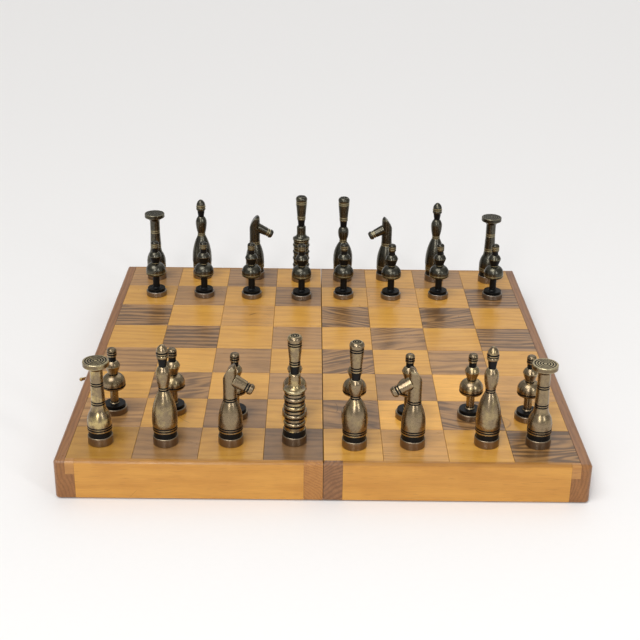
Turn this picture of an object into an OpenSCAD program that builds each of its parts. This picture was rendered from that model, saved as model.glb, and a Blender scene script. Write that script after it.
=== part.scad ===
// Folding chess board that closes into a box, with its set of 32 turned metal pieces.
// The board lies open, playing side up and hollow side down. X runs across the two halves,
// Y runs from the light army to the dark army, Z is up. The origin is on the ground, in the
// middle of the seam. Millimetres.

/* [Playing field] */
// Side of a square
square = 48.8; // [40:0.1:60]
// Width of the squares next to the seam, which are trimmed by the fold
seam_square_w = 44.6; // [38:0.1:60]

/* [Board halves] */
// Height of each half, from the rims to the playing side
board_h = 31; // [24:0.5:40]
// Plain border beside the field, on the outer rails
side_border = 8.8; // [6.5:0.1:11]
// Plain border in front of and behind the field
end_border = 4.8; // [4:0.1:9]
// Width of the outer side rails
outer_rail_w = 15.5; // [14:0.1:20]
// Width of the two rails that meet at the seam
seam_rail_w = 14.2; // [13:0.1:20]
// Width of the front and rear rails
end_rail_w = 15; // [12:0.1:20]
// Thickness of the plywood panel under the squares
panel_t = 6; // [4:0.5:8]
// Thickness of the solid wood squares
tile_t = 5; // [3:0.5:6]
// Rounding of the outer corners, seen from above
corner_r = 4.5; // [2:0.1:6]
// Rounding of the outer top edges
edge_r = 3; // [1:0.1:3.8]
// Rounding of the top edges along the seam
seam_edge_r = 0.8; // [0.2:0.1:1.5]

/* [Hinges] */
// Length of each hinge
hinge_len = 30; // [24:1:50]
// Distance of each hinge from the middle of the seam
hinge_y = 120; // [60:1:150]
// Width of a hinge leaf, from the seam
leaf_w = 11; // [9:0.1:13.4]
// Thickness of a hinge leaf
leaf_t = 1; // [0.8:0.1:1.1]
// Radius of the hinge barrel
barrel_r = 1.2; // [1.1:0.02:1.6]
// Radius of the hinge pin
hinge_pin_r = 0.6; // [0.4:0.05:0.7]
// Distance of the hinge screws from the edge of the wood at the seam
screw_in = 6.4; // [5.4:0.1:7]
// Radius of a hinge screw's shank
screw_r = 1; // [0.8:0.1:1.2]
// Radius of a hinge screw's countersunk head
screw_head_r = 2.1; // [1.8:0.1:2.4]
// Length of a hinge screw
screw_len = 9; // [6:0.5:12]
// Distance of the hinge screws from the middle of the leaf
screw_spread = 9; // [6:0.5:10]

/* [Latch] */
// Height of the latch screw and of the stud above the rims
latch_h = 19; // [15:0.1:23]
// Thickness of the hook
hook_t = 1.2; // [0.8:0.1:1.6]
// Width of the hook's arm
hook_arm_w = 4.6; // [3.6:0.1:6]
// Radius of the eye round the latch screw
hook_eye_r = 4; // [3.2:0.1:5]
// Radius of the shanks of the latch screw and the stud
latch_shank_r = 1.5; // [1.2:0.1:2]
// Radius of the heads of the latch screw and the stud
latch_head_r = 2.9; // [2.4:0.1:3.5]
// Thickness of those heads
latch_head_t = 1.4; // [1:0.1:2]
// Depth of the shanks in the wood
latch_shank_in = 8; // [6:0.5:8.5]
// Length of the finger tab past the claw
tab_len = 5.5; // [4:0.5:9]
// Angle by which the finger tab leans away from the board
tab_lean = 55; // [20:1:65]
// Radius of the ball at the tab's end
tab_ball_r = 1.6; // [1.2:0.1:2]

/* [Turned foot of the large pieces] */
// Diameter of the foot
foot_d = 19; // [16:0.1:22]
// Height of the foot's plain band
foot_h = 6.8; // [4:0.1:9]
// Height of the blackened waist above the foot
waist_h = 4.6; // [3:0.1:7]
// Depth of the blackened waist
waist_depth = 0.8; // [0.4:0.1:1.4]
// Height of each of the two beads above the waist
foot_bead_h = 1.3; // [0.8:0.1:2]
// Width of a turned groove
groove_w = 0.7; // [0.4:0.1:0.9]
// Depth of a turned groove
groove_depth = 0.6; // [0.3:0.1:0.8]
// Bevel on turned edges
bevel = 0.4; // [0.2:0.1:0.6]

/* [King and queen] */
// Largest diameter of the crown
crown_d = 11.3; // [9.5:0.1:13]
// Diameter of the crown's lower end
crown_low_d = 8.4; // [7.6:0.1:9.4]
// Height of the crown
crown_h = 24.1; // [20:0.1:30]
// Diameter of the neck under the crown
neck_d = 6.2; // [5:0.1:7.2]
// Height of the neck under the crown
neck_h = 6.4; // [4:0.1:9]

/* [King] */
// Number of ribs on the king's body
rib_count = 4; // [2:1:6]
// Height of a rib with its ring
rib_pitch = 7; // [6:0.1:9]
// Largest diameter of a rib
rib_d = 16.8; // [14:0.1:18]
// Height of the lip above the ribs
king_lip_h = 4; // [3:0.1:5]
// Height of the flare from the lip to the column
king_flare_h = 4.4; // [3:0.1:7]
// Diameter of the king's column
king_column_d = 9; // [7.6:0.1:11]
// Height of the king's column
king_column_h = 7.3; // [5:0.1:10]

/* [Queen] */
// Largest diameter of the queen's body
queen_belly_d = 19.2; // [16:0.1:21]
// Height of the widest place above the foot's beads
queen_belly_h = 8; // [5:0.1:11]
// Height of the queen's body above the foot's beads
queen_body_h = 24.7; // [20:0.1:32]
// Height of the queen's torso
queen_torso_h = 12.7; // [10:0.1:18]
// Largest diameter of the queen's torso
queen_torso_d = 10.6; // [8:0.1:12]

/* [Bishop] */
// Largest diameter of the bishop's body
bishop_belly_d = 19.2; // [16:0.1:21]
// Height of the widest place above the foot's beads
bishop_belly_h = 5; // [3:0.1:9]
// Height of the bishop's body above the foot's beads
bishop_body_h = 29; // [22:0.1:36]
// Height of the bishop's torso up to its crease
bishop_torso_h = 11.4; // [8:0.1:14]
// Height of the bishop's shoulder above the crease
bishop_shoulder_h = 5.2; // [3:0.1:7]
// Diameter of the torso at its crease
bishop_torso_d = 10.9; // [8.4:0.1:12]
// Height of the bishop's blackened neck
bishop_neck_h = 6.8; // [4:0.1:9]
// Diameter of the bishop's neck at its lower end
bishop_neck_d = 5.6; // [4.4:0.1:6.6]
// Largest diameter of the bishop's cap
cap_d = 9.3; // [8:0.1:11]
// Height of the cap below its ring
cap_cup_h = 3.2; // [2:0.1:5]
// Height of the cap's pointed dome
cap_dome_h = 5.6; // [4:0.1:8]

/* [Knight] */
// Height of the knight's body above the foot's beads
knight_body_h = 20.5; // [16:0.1:26]
// Diameter of the knight's neck
knight_neck_d = 10.3; // [8.4:0.1:12.4]
// Height of the neck, from the double ring to its tip
knight_neck_h = 27.2; // [24:0.1:34]
// Height of the rounding at the front of the neck's tip
knight_nose_h = 4; // [2:0.1:6]
// Radius of the curved cut at the back of the neck
mane_r = 21.6; // [18:0.1:28]
// Height from the tip down to where the curved cut starts
mane_h = 17.4; // [14:0.1:20]
// Angle by which the muzzle droops
muzzle_droop = 27; // [15:1:35]
// Height from the tip down to the muzzle's axis, at the middle of the neck
muzzle_drop = 11.2; // [10:0.1:14]
// Length of the muzzle from the middle of the neck
muzzle_len = 20; // [17:0.1:24]
// Diameter of the muzzle where it leaves the neck
muzzle_d = 9.4; // [7.8:0.1:11.3]
// Diameter of the muzzle before its rings
muzzle_tip_d = 8.2; // [7:0.1:9]
// Diameter of the muzzle's flared end
muzzle_end_d = 9; // [7.6:0.1:10]
// Diameter of the spigot that holds the muzzle in the neck
spigot_d = 5; // [4:0.1:6]

/* [Rook] */
// Height of the rook's body above the foot's beads
rook_body_h = 17.1; // [13:0.1:22]
// Diameter of the rook's column
rook_column_d = 9.5; // [8:0.1:11]
// Height of the lower column, between the two double rings
rook_low_h = 12.4; // [9:0.1:16]
// Height of the upper column
rook_top_h = 9.9; // [6:0.1:12]
// Height of the cone under the disc
rook_cone_h = 3.2; // [2.5:0.1:5]
// Diameter of the rook's disc
disc_d = 19.6; // [16:0.1:22]
// Thickness of the rook's disc
disc_t = 4; // [2.6:0.1:5]
// Number of rings cut in the top of the disc
disc_rings = 4; // [1:1:4]

/* [Pawn] */
// Diameter of the pawn's foot
pawn_foot_d = 19.6; // [17:0.1:22]
// Height of the pawn's foot
pawn_foot_h = 5; // [3.5:0.1:7]
// Diameter of the pawn's stem
stem_d = 6.5; // [5:0.1:8]
// Height of the pawn's stem
stem_h = 12.5; // [9:0.1:15]
// Diameter of the pawn's dome
dome_d = 18.9; // [16:0.1:21]
// Height of the pawn's dome above its rim
dome_h = 9; // [7:0.1:11]
// Diameter of the pawn's collar
collar_d = 12; // [10:0.1:14]
// Height of the pawn's collar
collar_h = 11.4; // [8:0.1:14]
// Height of the pawn's blackened neck
pawn_neck_h = 4.1; // [3:0.1:6]
// Diameter of the pawn's neck
pawn_neck_d = 6; // [5:0.1:6.6]
// Diameter of the pawn's knob
knob_d = 7.4; // [7:0.1:9]
// Height of the pawn's knob
knob_h = 6.7; // [5:0.1:8]

/* [Clearances] */
// Gap between the two halves at the seam
seam_gap = 0.4; // [0.3:0.1:1.5]
// Gap between the rims when the box is shut
shut_gap = 0.2; // [0.2:0.1:0.5]
// Glue line between neighbouring pieces of wood
glue_line = 0.1; // [0.05:0.05:0.2]
// Saw kerf between neighbouring squares
kerf = 0.16; // [0.1:0.02:0.4]
// Radial clearance of the hinge pins and the latch screw
pin_fit = 0.05; // [0.02:0.01:0.1]
// Gap between the knuckles of a hinge
knuckle_gap = 0.2; // [0.1:0.05:0.4]
// Room for a barrel in the wood, and for the stud in the claw
free_fit = 0.3; // [0.2:0.05:0.5]
// Gap under each standing piece
seat_gap = 0.05; // [0.02:0.01:0.1]

/* [Hidden] */
$fn = 64;
ARC_STEPS = 8;
BIG = 1000;

RANKS = 8;
HALF_FILES = 4;
FILES = [0 : 7];
ARMIES = ["light", "dark"];
BACK_NAMES = ["rook_left", "bishop_left", "knight_left", "king",
              "queen", "knight_right", "bishop_right", "rook_right"];
BACK_KINDS = ["rook", "bishop", "knight", "king", "queen", "knight", "bishop", "rook"];
SIDE_NAMES = ["left", "right"];
HALF_PARTS = ["outer_rail", "seam_rail", "front_rail", "rear_rail", "corner_blocks", "panel",
              "light_squares", "dark_squares", "hinge_leaves", "hinge_screws"];

function side_name(side) = side < 0 ? "left" : "right";
function back_name(army, file) = str(army, "_", BACK_NAMES[file]);
function pawn_name(army, file) = str(army, "_pawn_", file + 1);

// Where each piece stands off the middle of its square, file by file from the left
LIGHT_BACK_OFF = [[-2, 0.5], [-1.5, 0.5], [-1, 1.5], [0.5, 4.5],
                  [1, -1.5], [-1.5, 0], [6.5, 3], [-3, 3]];
LIGHT_PAWN_OFF = [[1.5, 1.5], [-0.5, 2], [0, -5], [0, -1.5],
                  [2, -4], [-2, -3.5], [-1.5, -2], [-5, -4]];
DARK_PAWN_OFF = [[5.5, 1.5], [3.5, 1], [1, -0.5], [3, -2.5],
                 [-1, 1], [-1.5, 0.5], [-3.5, 3], [1, 3.5]];
DARK_BACK_OFF = [[0.5, -2], [-2.5, 1.5], [2, 2], [2, -4.5],
                 [-1, -1.5], [-4, 1.5], [-3.5, 0], [2, -1.5]];
// Which way each army's two knights look, in degrees from +X
LIGHT_KNIGHT_TURN = [-10, 192];
DARK_KNIGHT_TURN = [0, 186];

// The board
half_gap = seam_gap / 2;
half_w = half_gap + seam_square_w + (HALF_FILES - 1) * square + side_border;
half_l = RANKS * square / 2 + end_border;
rim_z = barrel_r + shut_gap / 2;
top_z = rim_z + board_h;
rebate_d = panel_t + tile_t;
field_x = half_w - side_border;
field_y = half_l - end_border;
outer_in_x = half_w - outer_rail_w;
seam_in_x = half_gap + seam_rail_w;

// The hinges
axis_z = rim_z - shut_gap / 2;
knuckle_count = 3;
knuckle_len = (hinge_len - (knuckle_count - 1) * knuckle_gap) / knuckle_count;
pin_head_t = 0.5;
pin_head_out = 0.35;
pin_head_r = hinge_pin_r + pin_head_out;
leaf_clear = 0.1;
screw_x = half_gap + screw_in;
screw_slot_w = 0.5;
screw_slot_depth = 0.4;

// The latch
latch_z = rim_z + latch_h;
claw_reach = 2 * latch_h + shut_gap;
face_gap = 0.15;
hook_x = half_w + face_gap;
head_x = hook_x + hook_t + face_gap;
stud_head_x = head_x + free_fit;
claw_r = latch_shank_r + free_fit;
claw_wall = 2.6;
tab_w = hook_arm_w / 2;
tab_step = 1.8;
tab_root = claw_reach + latch_head_r + free_fit + tab_step;
hook_rest_lift = 3;

brass = "#b08d4a";
steel = "#9a9a9a";
light_metal = "#8f8468";
dark_metal = "#3d3a34";
rail_wood = "#a9754a";
seam_wood = "#9d6d44";
end_wood = "#d39b4b";
block_wood = "#c08a52";
ply_wood = "#c9a777";
light_wood = "#d59d4f";
dark_wood = "#7d5b3e";

function middle(file) =
    let (from_seam = file < HALF_FILES ? HALF_FILES - 1 - file : file - HALF_FILES)
    (file < HALF_FILES ? -1 : 1) * (column_start(from_seam) + column_w(from_seam) / 2);
function column_w(n) = n == 0 ? seam_square_w : square;
function column_start(n) = half_gap + (n == 0 ? 0 : seam_square_w + (n - 1) * square);
function rank_y(rank) = (rank + 0.5) * square - field_y;
function is_light(side, n, rank) = (n + rank + (side < 0 ? 1 : 0)) % 2 == 0;

// ---- Outlines of turned parts, as [radius, height] points from the bottom up ----

// Round stretch from a to b whose middle stands out by sag, without its first point
function arc(a, b, sag, n = ARC_STEPS) =
    let (chord = norm(b - a),
         along = (b - a) / chord,
         out = [along[1], -along[0]] * sign(sag),
         bow = abs(sag),
         r = (chord * chord / 4 + bow * bow) / (2 * bow),
         half = 2 * atan(2 * bow / chord))
    [for (i = [1 : n])
        let (t = half * (2 * i / n - 1))
        (a + b) / 2 + along * r * sin(t) + out * (r * cos(t) - r * cos(half))];

// Round stretch from a to b that leaves a straight upwards
function swell(a, b, n = ARC_STEPS) =
    let (in = a[0] - b[0],
         up = b[1] - a[1],
         r = (in * in + up * up) / (2 * in),
         end = asin(up / r))
    [for (i = [1 : n]) [a[0] - r + r * cos(end * i / n), a[1] + r * sin(end * i / n)]];

// Turned groove that starts at height z in a wall of radius r
function groove(r, z) =
    [[r, z], [r - groove_depth, z], [r - groove_depth, z + groove_w], [r, z + groove_w]];

// Double ring: a bead between two grooves
double_ring_h = 2 * groove_w + foot_bead_h;
function double_ring(r, z) = concat(groove(r, z), groove(r, z + groove_w + foot_bead_h));

// Groove in a flat top, cut from radius r inwards, listed from the outside in
function top_ring(r, z) =
    [[r, z], [r, z - groove_depth], [r - groove_w, z - groove_depth], [r - groove_w, z]];

function band(r, z0, z1) = [[r - bevel, z0], [r, z0 + bevel], [r, z1 - bevel], [r - bevel, z1]];

foot_r = foot_d / 2;
waist_r = foot_r - waist_depth;
waist_top = foot_h + waist_h;
beads_top = waist_top + 2 * foot_bead_h + 2 * groove_w;
bead_r = foot_r - bevel / 2;
function waisted_foot() = concat([[0, 0]], band(foot_r, 0, foot_h),
    [[waist_r, foot_h], [waist_r, waist_top]]);
function beaded_foot() = concat(waisted_foot(),
    [[bead_r, waist_top]], groove(bead_r, waist_top + foot_bead_h),
    groove(bead_r, waist_top + 2 * foot_bead_h + groove_w));

crown_r = crown_d / 2;
crown_low_r = crown_low_d / 2;
crown_head_h = 5;
crown_shoulder_h = 3;
crown_top_in = 1.7;
crown_top_r = crown_r - crown_top_in;
crown_ring_in = 0.3;
crown_ring_r = crown_r - crown_ring_in;
crown_lip_h = 1.2;
function crown(z) =
    let (rings = z + crown_lip_h, head = z + crown_h - crown_head_h,
         top = z + crown_h)
    concat([[crown_low_r - bevel, z], [crown_low_r, z + bevel]],
        double_ring(crown_low_r, rings),
        double_ring(crown_ring_r, head - double_ring_h),
        [[crown_r, top - crown_shoulder_h]],
        swell([crown_r, top - crown_shoulder_h], [crown_top_r, top]),
        top_ring(crown_top_r - groove_w, top), top_ring(crown_top_r - 3 * groove_w, top),
        [[0, top]]);

neck_r = neck_d / 2;
neck_flare = 0.6;
neck_top_r = neck_r + neck_flare;
rib_r = rib_d / 2;
rib_ring_h = 1.8;
rib_bead_h = rib_pitch - 2 * groove_w - rib_ring_h;
rib_depth = 1.3;
rib_valley_r = rib_r - rib_depth;
function rib(z) = concat([[rib_valley_r, z], [rib_valley_r, z + groove_w]],
    arc([rib_valley_r + bevel, z + groove_w], [rib_valley_r + bevel, z + groove_w + rib_bead_h],
        rib_r - rib_valley_r - bevel),
    [[rib_valley_r, z + groove_w + rib_bead_h], [rib_valley_r, z + 2 * groove_w + rib_bead_h],
     [rib_valley_r + groove_depth, z + 2 * groove_w + rib_bead_h],
     [rib_valley_r + groove_depth, z + rib_pitch]]);
king_ribs_z = waist_top + 2 * foot_bead_h;
king_lip_z = king_ribs_z + rib_count * rib_pitch;
king_flare_z = king_lip_z + king_lip_h;
king_column_z = king_flare_z + king_flare_h;
king_neck_z = king_column_z + king_column_h;
king_shoulder_h = 1.6;
king_flare_dip = 1.1;
king_crown_z = king_neck_z + neck_h;
function king_outline() = concat(waisted_foot(),
    [[rib_r - groove_depth, waist_top], [rib_r - groove_depth, king_ribs_z]],
    [for (i = [0 : rib_count - 1]) each rib(king_ribs_z + i * rib_pitch)],
    [[rib_valley_r, king_lip_z], [rib_valley_r, king_lip_z + groove_w],
     [rib_r - bevel, king_lip_z + groove_w], [rib_r, king_lip_z + groove_w + bevel],
     [rib_r, king_flare_z - bevel], [rib_r - bevel, king_flare_z]],
    arc([rib_r - bevel, king_flare_z], [king_column_d / 2, king_column_z],
        -king_flare_dip),
    [[king_column_d / 2, king_neck_z - king_shoulder_h]],
    swell([king_column_d / 2, king_neck_z - king_shoulder_h], [neck_r + bevel, king_neck_z]),
    [[neck_r, king_neck_z], [neck_top_r, king_crown_z]], crown(king_crown_z));

queen_ring_r = 3.9;
queen_ring_z = beads_top + queen_body_h;
queen_torso_z = queen_ring_z + double_ring_h;
queen_neck_z = queen_torso_z + queen_torso_h;
queen_shoulder_h = 4.8;
queen_shoulder_z = queen_neck_z - queen_shoulder_h;
queen_crown_z = queen_neck_z + neck_h;
function queen_outline() = concat(beaded_foot(),
    arc([bead_r, beads_top], [queen_belly_d / 2, beads_top + queen_belly_h], bevel / 2),
    swell([queen_belly_d / 2, beads_top + queen_belly_h], [queen_ring_r, queen_ring_z]),
    double_ring(queen_ring_r, queen_ring_z),
    arc([queen_ring_r, queen_torso_z], [queen_torso_d / 2, queen_shoulder_z], bevel),
    swell([queen_torso_d / 2, queen_shoulder_z], [neck_r + bevel, queen_neck_z]),
    [[neck_r, queen_neck_z], [neck_top_r, queen_crown_z]], crown(queen_crown_z));

bishop_ring_r = 3.9;
bishop_ring_z = beads_top + bishop_body_h;
bishop_torso_z = bishop_ring_z + double_ring_h;
bishop_crease_z = bishop_torso_z + bishop_torso_h;
bishop_neck_z = bishop_crease_z + bishop_shoulder_h;
bishop_neck_r = bishop_neck_d / 2;
bishop_neck_flare = 0.9;
bishop_neck_top_r = bishop_neck_r + bishop_neck_flare;
cap_z = bishop_neck_z + bishop_neck_h;
cap_ring_z = cap_z + cap_cup_h;
cap_dome_z = cap_ring_z + foot_bead_h + groove_w;
cap_tip_z = cap_dome_z + cap_dome_h;
cap_tip_r = 0.5;
cap_bulge = 0.9;
cap_in = 0.3;
cap_in_r = cap_d / 2 - cap_in;
function bishop_outline() = concat(beaded_foot(),
    arc([bead_r, beads_top], [bishop_belly_d / 2, beads_top + bishop_belly_h], bevel / 2),
    swell([bishop_belly_d / 2, beads_top + bishop_belly_h], [bishop_ring_r, bishop_ring_z]),
    double_ring(bishop_ring_r, bishop_ring_z),
    arc([bishop_ring_r, bishop_torso_z], [bishop_torso_d / 2, bishop_crease_z], bevel),
    arc([bishop_torso_d / 2, bishop_crease_z], [bishop_neck_r + bevel, bishop_neck_z], bevel),
    [[bishop_neck_r, bishop_neck_z], [bishop_neck_top_r, cap_z]],
    arc([bishop_neck_top_r + bevel, cap_z], [cap_in_r, cap_ring_z - groove_w], bevel),
    [[cap_in_r - groove_depth, cap_ring_z - groove_w], [cap_in_r - groove_depth, cap_ring_z],
     [cap_d / 2, cap_ring_z], [cap_d / 2, cap_ring_z + foot_bead_h],
     [cap_in_r - groove_depth, cap_ring_z + foot_bead_h], [cap_in_r - groove_depth, cap_dome_z],
     [cap_in_r, cap_dome_z]],
    arc([cap_in_r, cap_dome_z], [cap_tip_r, cap_tip_z], cap_bulge), [[0, cap_tip_z]]);

rook_ring_out = 0.55;
rook_ring_r = rook_column_d / 2 + rook_ring_out;
rook_ring_z = beads_top + rook_body_h;
rook_low_z = rook_ring_z + double_ring_h;
rook_ring2_z = rook_low_z + rook_low_h;
rook_top_z = rook_ring2_z + double_ring_h;
rook_cone_z = rook_top_z + rook_top_h;
disc_z = rook_cone_z + rook_cone_h;
disc_top_z = disc_z + disc_t;
disc_margin = 2;
disc_ring_pitch = (disc_d / 2 - disc_margin) / disc_rings;
rook_shoulder_h = 3;
rook_waist_h = 5.4;
rook_waist_out = 1.1;
rook_waist_r = rook_ring_r + rook_waist_out;
rook_belly_bulge = 0.6;
rook_waist_dip = 0.2;
function rook_outline() = concat(beaded_foot(),
    [[bead_r, beads_top + rook_shoulder_h]],
    arc([bead_r, beads_top + rook_shoulder_h],
        [rook_waist_r, rook_ring_z - rook_waist_h], rook_belly_bulge),
    arc([rook_waist_r, rook_ring_z - rook_waist_h], [rook_ring_r, rook_ring_z],
        -rook_waist_dip),
    double_ring(rook_ring_r, rook_ring_z),
    double_ring(rook_column_d / 2, rook_ring2_z),
    [[rook_column_d / 2, rook_cone_z], [rook_column_d / 2 + bevel, rook_cone_z]],
    arc([rook_column_d / 2 + bevel, rook_cone_z], [disc_d / 2 - 2 * bevel, disc_z], -bevel),
    band(disc_d / 2, disc_z, disc_top_z),
    [for (i = [disc_rings : -1 : 1]) each top_ring(i * disc_ring_pitch + bevel, disc_top_z)],
    [[0, disc_top_z]]);

knight_belly_h = 2;
knight_nose_in = 1.5;
knight_nose_r = knight_neck_d / 2 - knight_nose_in;
mane_out = 0.5;
knight_ring_out = 0.15;
knight_ring_r = knight_neck_d / 2 + knight_ring_out;
knight_ring_z = beads_top + knight_body_h;
knight_neck_z = knight_ring_z + double_ring_h;
knight_tip_z = knight_neck_z + knight_neck_h;
function knight_outline() = concat(beaded_foot(),
    [[bead_r, beads_top + knight_belly_h]],
    swell([bead_r, beads_top + knight_belly_h], [knight_ring_r, knight_ring_z]),
    double_ring(knight_ring_r, knight_ring_z),
    [[knight_neck_d / 2, knight_neck_z], [knight_neck_d / 2, knight_tip_z - knight_nose_h]],
    swell([knight_neck_d / 2, knight_tip_z - knight_nose_h], [knight_nose_r, knight_tip_z]),
    [[0, knight_tip_z]]);

muzzle_end_h = 3.2;
muzzle_cap_h = 2.3;
muzzle_cap_in = 1.9;
muzzle_cap_r = muzzle_end_d / 2 - muzzle_cap_in;
muzzle_in = 1.6;
muzzle_root = knight_neck_d / 2 - muzzle_in;
spigot_past = 1.8;
spigot_len = muzzle_root + spigot_past;
pocket_gap = 0.3;
muzzle_rings_z = muzzle_len - muzzle_end_h - double_ring_h;
function muzzle_outline() = concat(
    [[0, muzzle_root - spigot_len], [spigot_d / 2, muzzle_root - spigot_len],
     [spigot_d / 2, muzzle_root + pin_fit], [muzzle_d / 2, muzzle_root + pin_fit]],
    double_ring(muzzle_tip_d / 2, muzzle_rings_z),
    arc([muzzle_tip_d / 2, muzzle_len - muzzle_end_h],
        [muzzle_end_d / 2, muzzle_len - muzzle_cap_h], -bevel / 4),
    swell([muzzle_end_d / 2, muzzle_len - muzzle_cap_h], [muzzle_cap_r, muzzle_len]),
    [[0, muzzle_len]]);

pawn_foot_r = pawn_foot_d / 2;
pawn_step_h = 1.3;
pawn_step_in = 1.4;
pawn_step_r = pawn_foot_r - pawn_step_in;
pawn_cut_in = 2.2;
pawn_cut_r = pawn_foot_r - pawn_cut_in;
pawn_disc_z = pawn_foot_h + pawn_step_h;
stem_root_h = 1.1;
stem_root_r = stem_d / 2 + 1;
stem_z = pawn_disc_z + pawn_step_h + stem_root_h;
dome_lip_h = 2.1;
dome_band_h = 2;
dome_lip_z = stem_z + stem_h;
dome_lip_in = 0.5;
dome_lip_r = dome_d / 2 - dome_lip_in;
dome_lip_low_r = dome_lip_r - 1;
dome_z = dome_lip_z + dome_lip_h + groove_w;
collar_z = dome_z + dome_h;
collar_low_r = 4;
collar_lip_out = 0.2;
pawn_neck_z = collar_z + collar_h;
collar_top_h = 4.1;
collar_wide_z = pawn_neck_z - collar_top_h;
knob_z = pawn_neck_z + pawn_neck_h;
knob_r = knob_d / 2;
knob_top_z = knob_z + knob_h;
knob_band_h = 1.3;
knob_dome_z = knob_z + knob_band_h + double_ring_h;
knob_top_r = 0.8;
function pawn_outline() = concat([[0, 0]], band(pawn_foot_r, 0, pawn_foot_h),
    [[pawn_cut_r, pawn_foot_h], [pawn_cut_r, pawn_disc_z], [pawn_step_r, pawn_disc_z],
     [pawn_step_r, pawn_disc_z + pawn_step_h], [stem_root_r, pawn_disc_z + pawn_step_h],
     [stem_d / 2, stem_z], [stem_d / 2, dome_lip_z], [dome_lip_low_r, dome_lip_z]],
    arc([dome_lip_low_r, dome_lip_z], [dome_lip_r, dome_lip_z + dome_lip_h], bevel),
    [[dome_lip_r - groove_depth, dome_lip_z + dome_lip_h], [dome_lip_r - groove_depth, dome_z],
     [dome_d / 2, dome_z]],
    [[dome_d / 2, dome_z + dome_band_h]],
    swell([dome_d / 2, dome_z + dome_band_h], [collar_low_r, collar_z]),
    [[collar_low_r - groove_depth, collar_z], [collar_low_r - groove_depth, collar_z + groove_w],
     [collar_low_r, collar_z + groove_w], [collar_low_r + collar_lip_out, collar_z + 3 * groove_w],
     [collar_d / 2, collar_wide_z]],
    arc([collar_d / 2, collar_wide_z], [pawn_neck_d / 2 + bevel, pawn_neck_z], bevel),
    [[pawn_neck_d / 2, pawn_neck_z], [pawn_neck_d / 2, knob_z], [knob_r, knob_z]],
    double_ring(knob_r, knob_z + knob_band_h),
    swell([knob_r, knob_dome_z], [knob_top_r, knob_top_z]), [[0, knob_top_z]]);

module turned(outline) { rotate_extrude() polygon(outline); }

// Neck with the curved cut at its back and the pocket that takes the muzzle, looking along +X
module knight_body() {
    difference() {
        turned(knight_outline());
        translate([0, 0, knight_tip_z - mane_h]) difference() {
            translate([-BIG / 2, -BIG / 2, 0]) cube(BIG);
            translate([mane_r - knight_neck_d / 2 - mane_out, 0, 0]) rotate([90, 0, 0])
                cylinder(r = mane_r, h = knight_neck_d * 2, center = true);
        }
        muzzle_place() {
            translate([0, 0, muzzle_root]) cylinder(d = muzzle_d + 2 * pocket_gap, h = muzzle_len);
            translate([0, 0, muzzle_root - spigot_len - pin_fit])
                cylinder(d = spigot_d + 2 * pin_fit, h = muzzle_len);
        }
    }
}

module muzzle_place() {
    translate([0, 0, knight_tip_z - muzzle_drop]) rotate([0, 90 + muzzle_droop, 0]) children();
}

module chess_piece(kind) {
    if (kind == "king") turned(king_outline());
    if (kind == "queen") turned(queen_outline());
    if (kind == "bishop") turned(bishop_outline());
    if (kind == "rook") turned(rook_outline());
    if (kind == "pawn") turned(pawn_outline());
    if (kind == "knight") {
        knight_body();
        muzzle_place() turned(muzzle_outline());
    }
}

function is_front(army) = army == "light";
function stand(file, rank, off) = [middle(file) + off[0], rank_y(rank) + off[1], top_z + seat_gap];
function knight_turn(army, file) =
    (is_front(army) ? LIGHT_KNIGHT_TURN : DARK_KNIGHT_TURN)[file < HALF_FILES ? 0 : 1];

module back_piece(army, file) {
    off = (is_front(army) ? LIGHT_BACK_OFF : DARK_BACK_OFF)[file];
    turn = BACK_KINDS[file] == "knight" ? knight_turn(army, file) : 0;
    color(is_front(army) ? light_metal : dark_metal)
        translate(stand(file, is_front(army) ? 0 : RANKS - 1, off)) rotate([0, 0, turn])
            chess_piece(BACK_KINDS[file]);
}

module pawn(army, file) {
    off = (is_front(army) ? LIGHT_PAWN_OFF : DARK_PAWN_OFF)[file];
    color(is_front(army) ? light_metal : dark_metal)
        translate(stand(file, is_front(army) ? 1 : RANKS - 2, off)) chess_piece("pawn");
}

// ---- The board. Each half is drawn on the +X side and mirrored for the left ----

module on_side(side) { mirror([side < 0 ? 1 : 0, 0, 0]) children(); }

// Box from one corner to the other
module block(a, b) { translate(a) cube(b - a); }

// The plan of a half, rounded at its two outer corners
module half_plan() {
    translate([0, -half_l + corner_r]) square([half_w, 2 * (half_l - corner_r)]);
    translate([0, -half_l]) square([half_w - corner_r, 2 * half_l]);
    for (y = [-1, 1]) translate([half_w - corner_r, y * (half_l - corner_r)]) circle(corner_r);
}

// Upright outline of width w and height board_h, with its two top corners rounded
module rounded_top(w, r0, r1) {
    square([w, board_h - max(r0, r1)]);
    translate([r0, 0]) square([w - r0 - r1, board_h]);
    square([r0, board_h - r0]);
    translate([w - r1, 0]) square([r1, board_h - r1]);
    translate([r0, board_h - r0]) circle(r0);
    translate([w - r1, board_h - r1]) circle(r1);
}

// The outer shape of a half: rounded corners and rounded top edges
module half_shape() {
    intersection() {
        translate([0, 0, rim_z]) linear_extrude(board_h) half_plan();
        translate([half_gap, half_l, rim_z]) rotate([90, 0, 0])
            linear_extrude(2 * half_l) rounded_top(half_w - half_gap, seam_edge_r, edge_r);
        translate([0, -half_l, rim_z]) rotate([90, 0, 90])
            linear_extrude(half_w) rounded_top(2 * half_l, edge_r, edge_r);
    }
}

module rail_cut(a, b) { intersection() { half_shape(); block(a, b); } }

module outer_rail(side) {
    color(rail_wood) on_side(side) difference() {
        rail_cut([outer_in_x, -half_l, rim_z], [half_w, half_l, top_z]);
        block([outer_in_x - 1, -half_l - 1, top_z - rebate_d],
              [field_x + glue_line, half_l + 1, top_z + 1]);
    }
}

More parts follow.
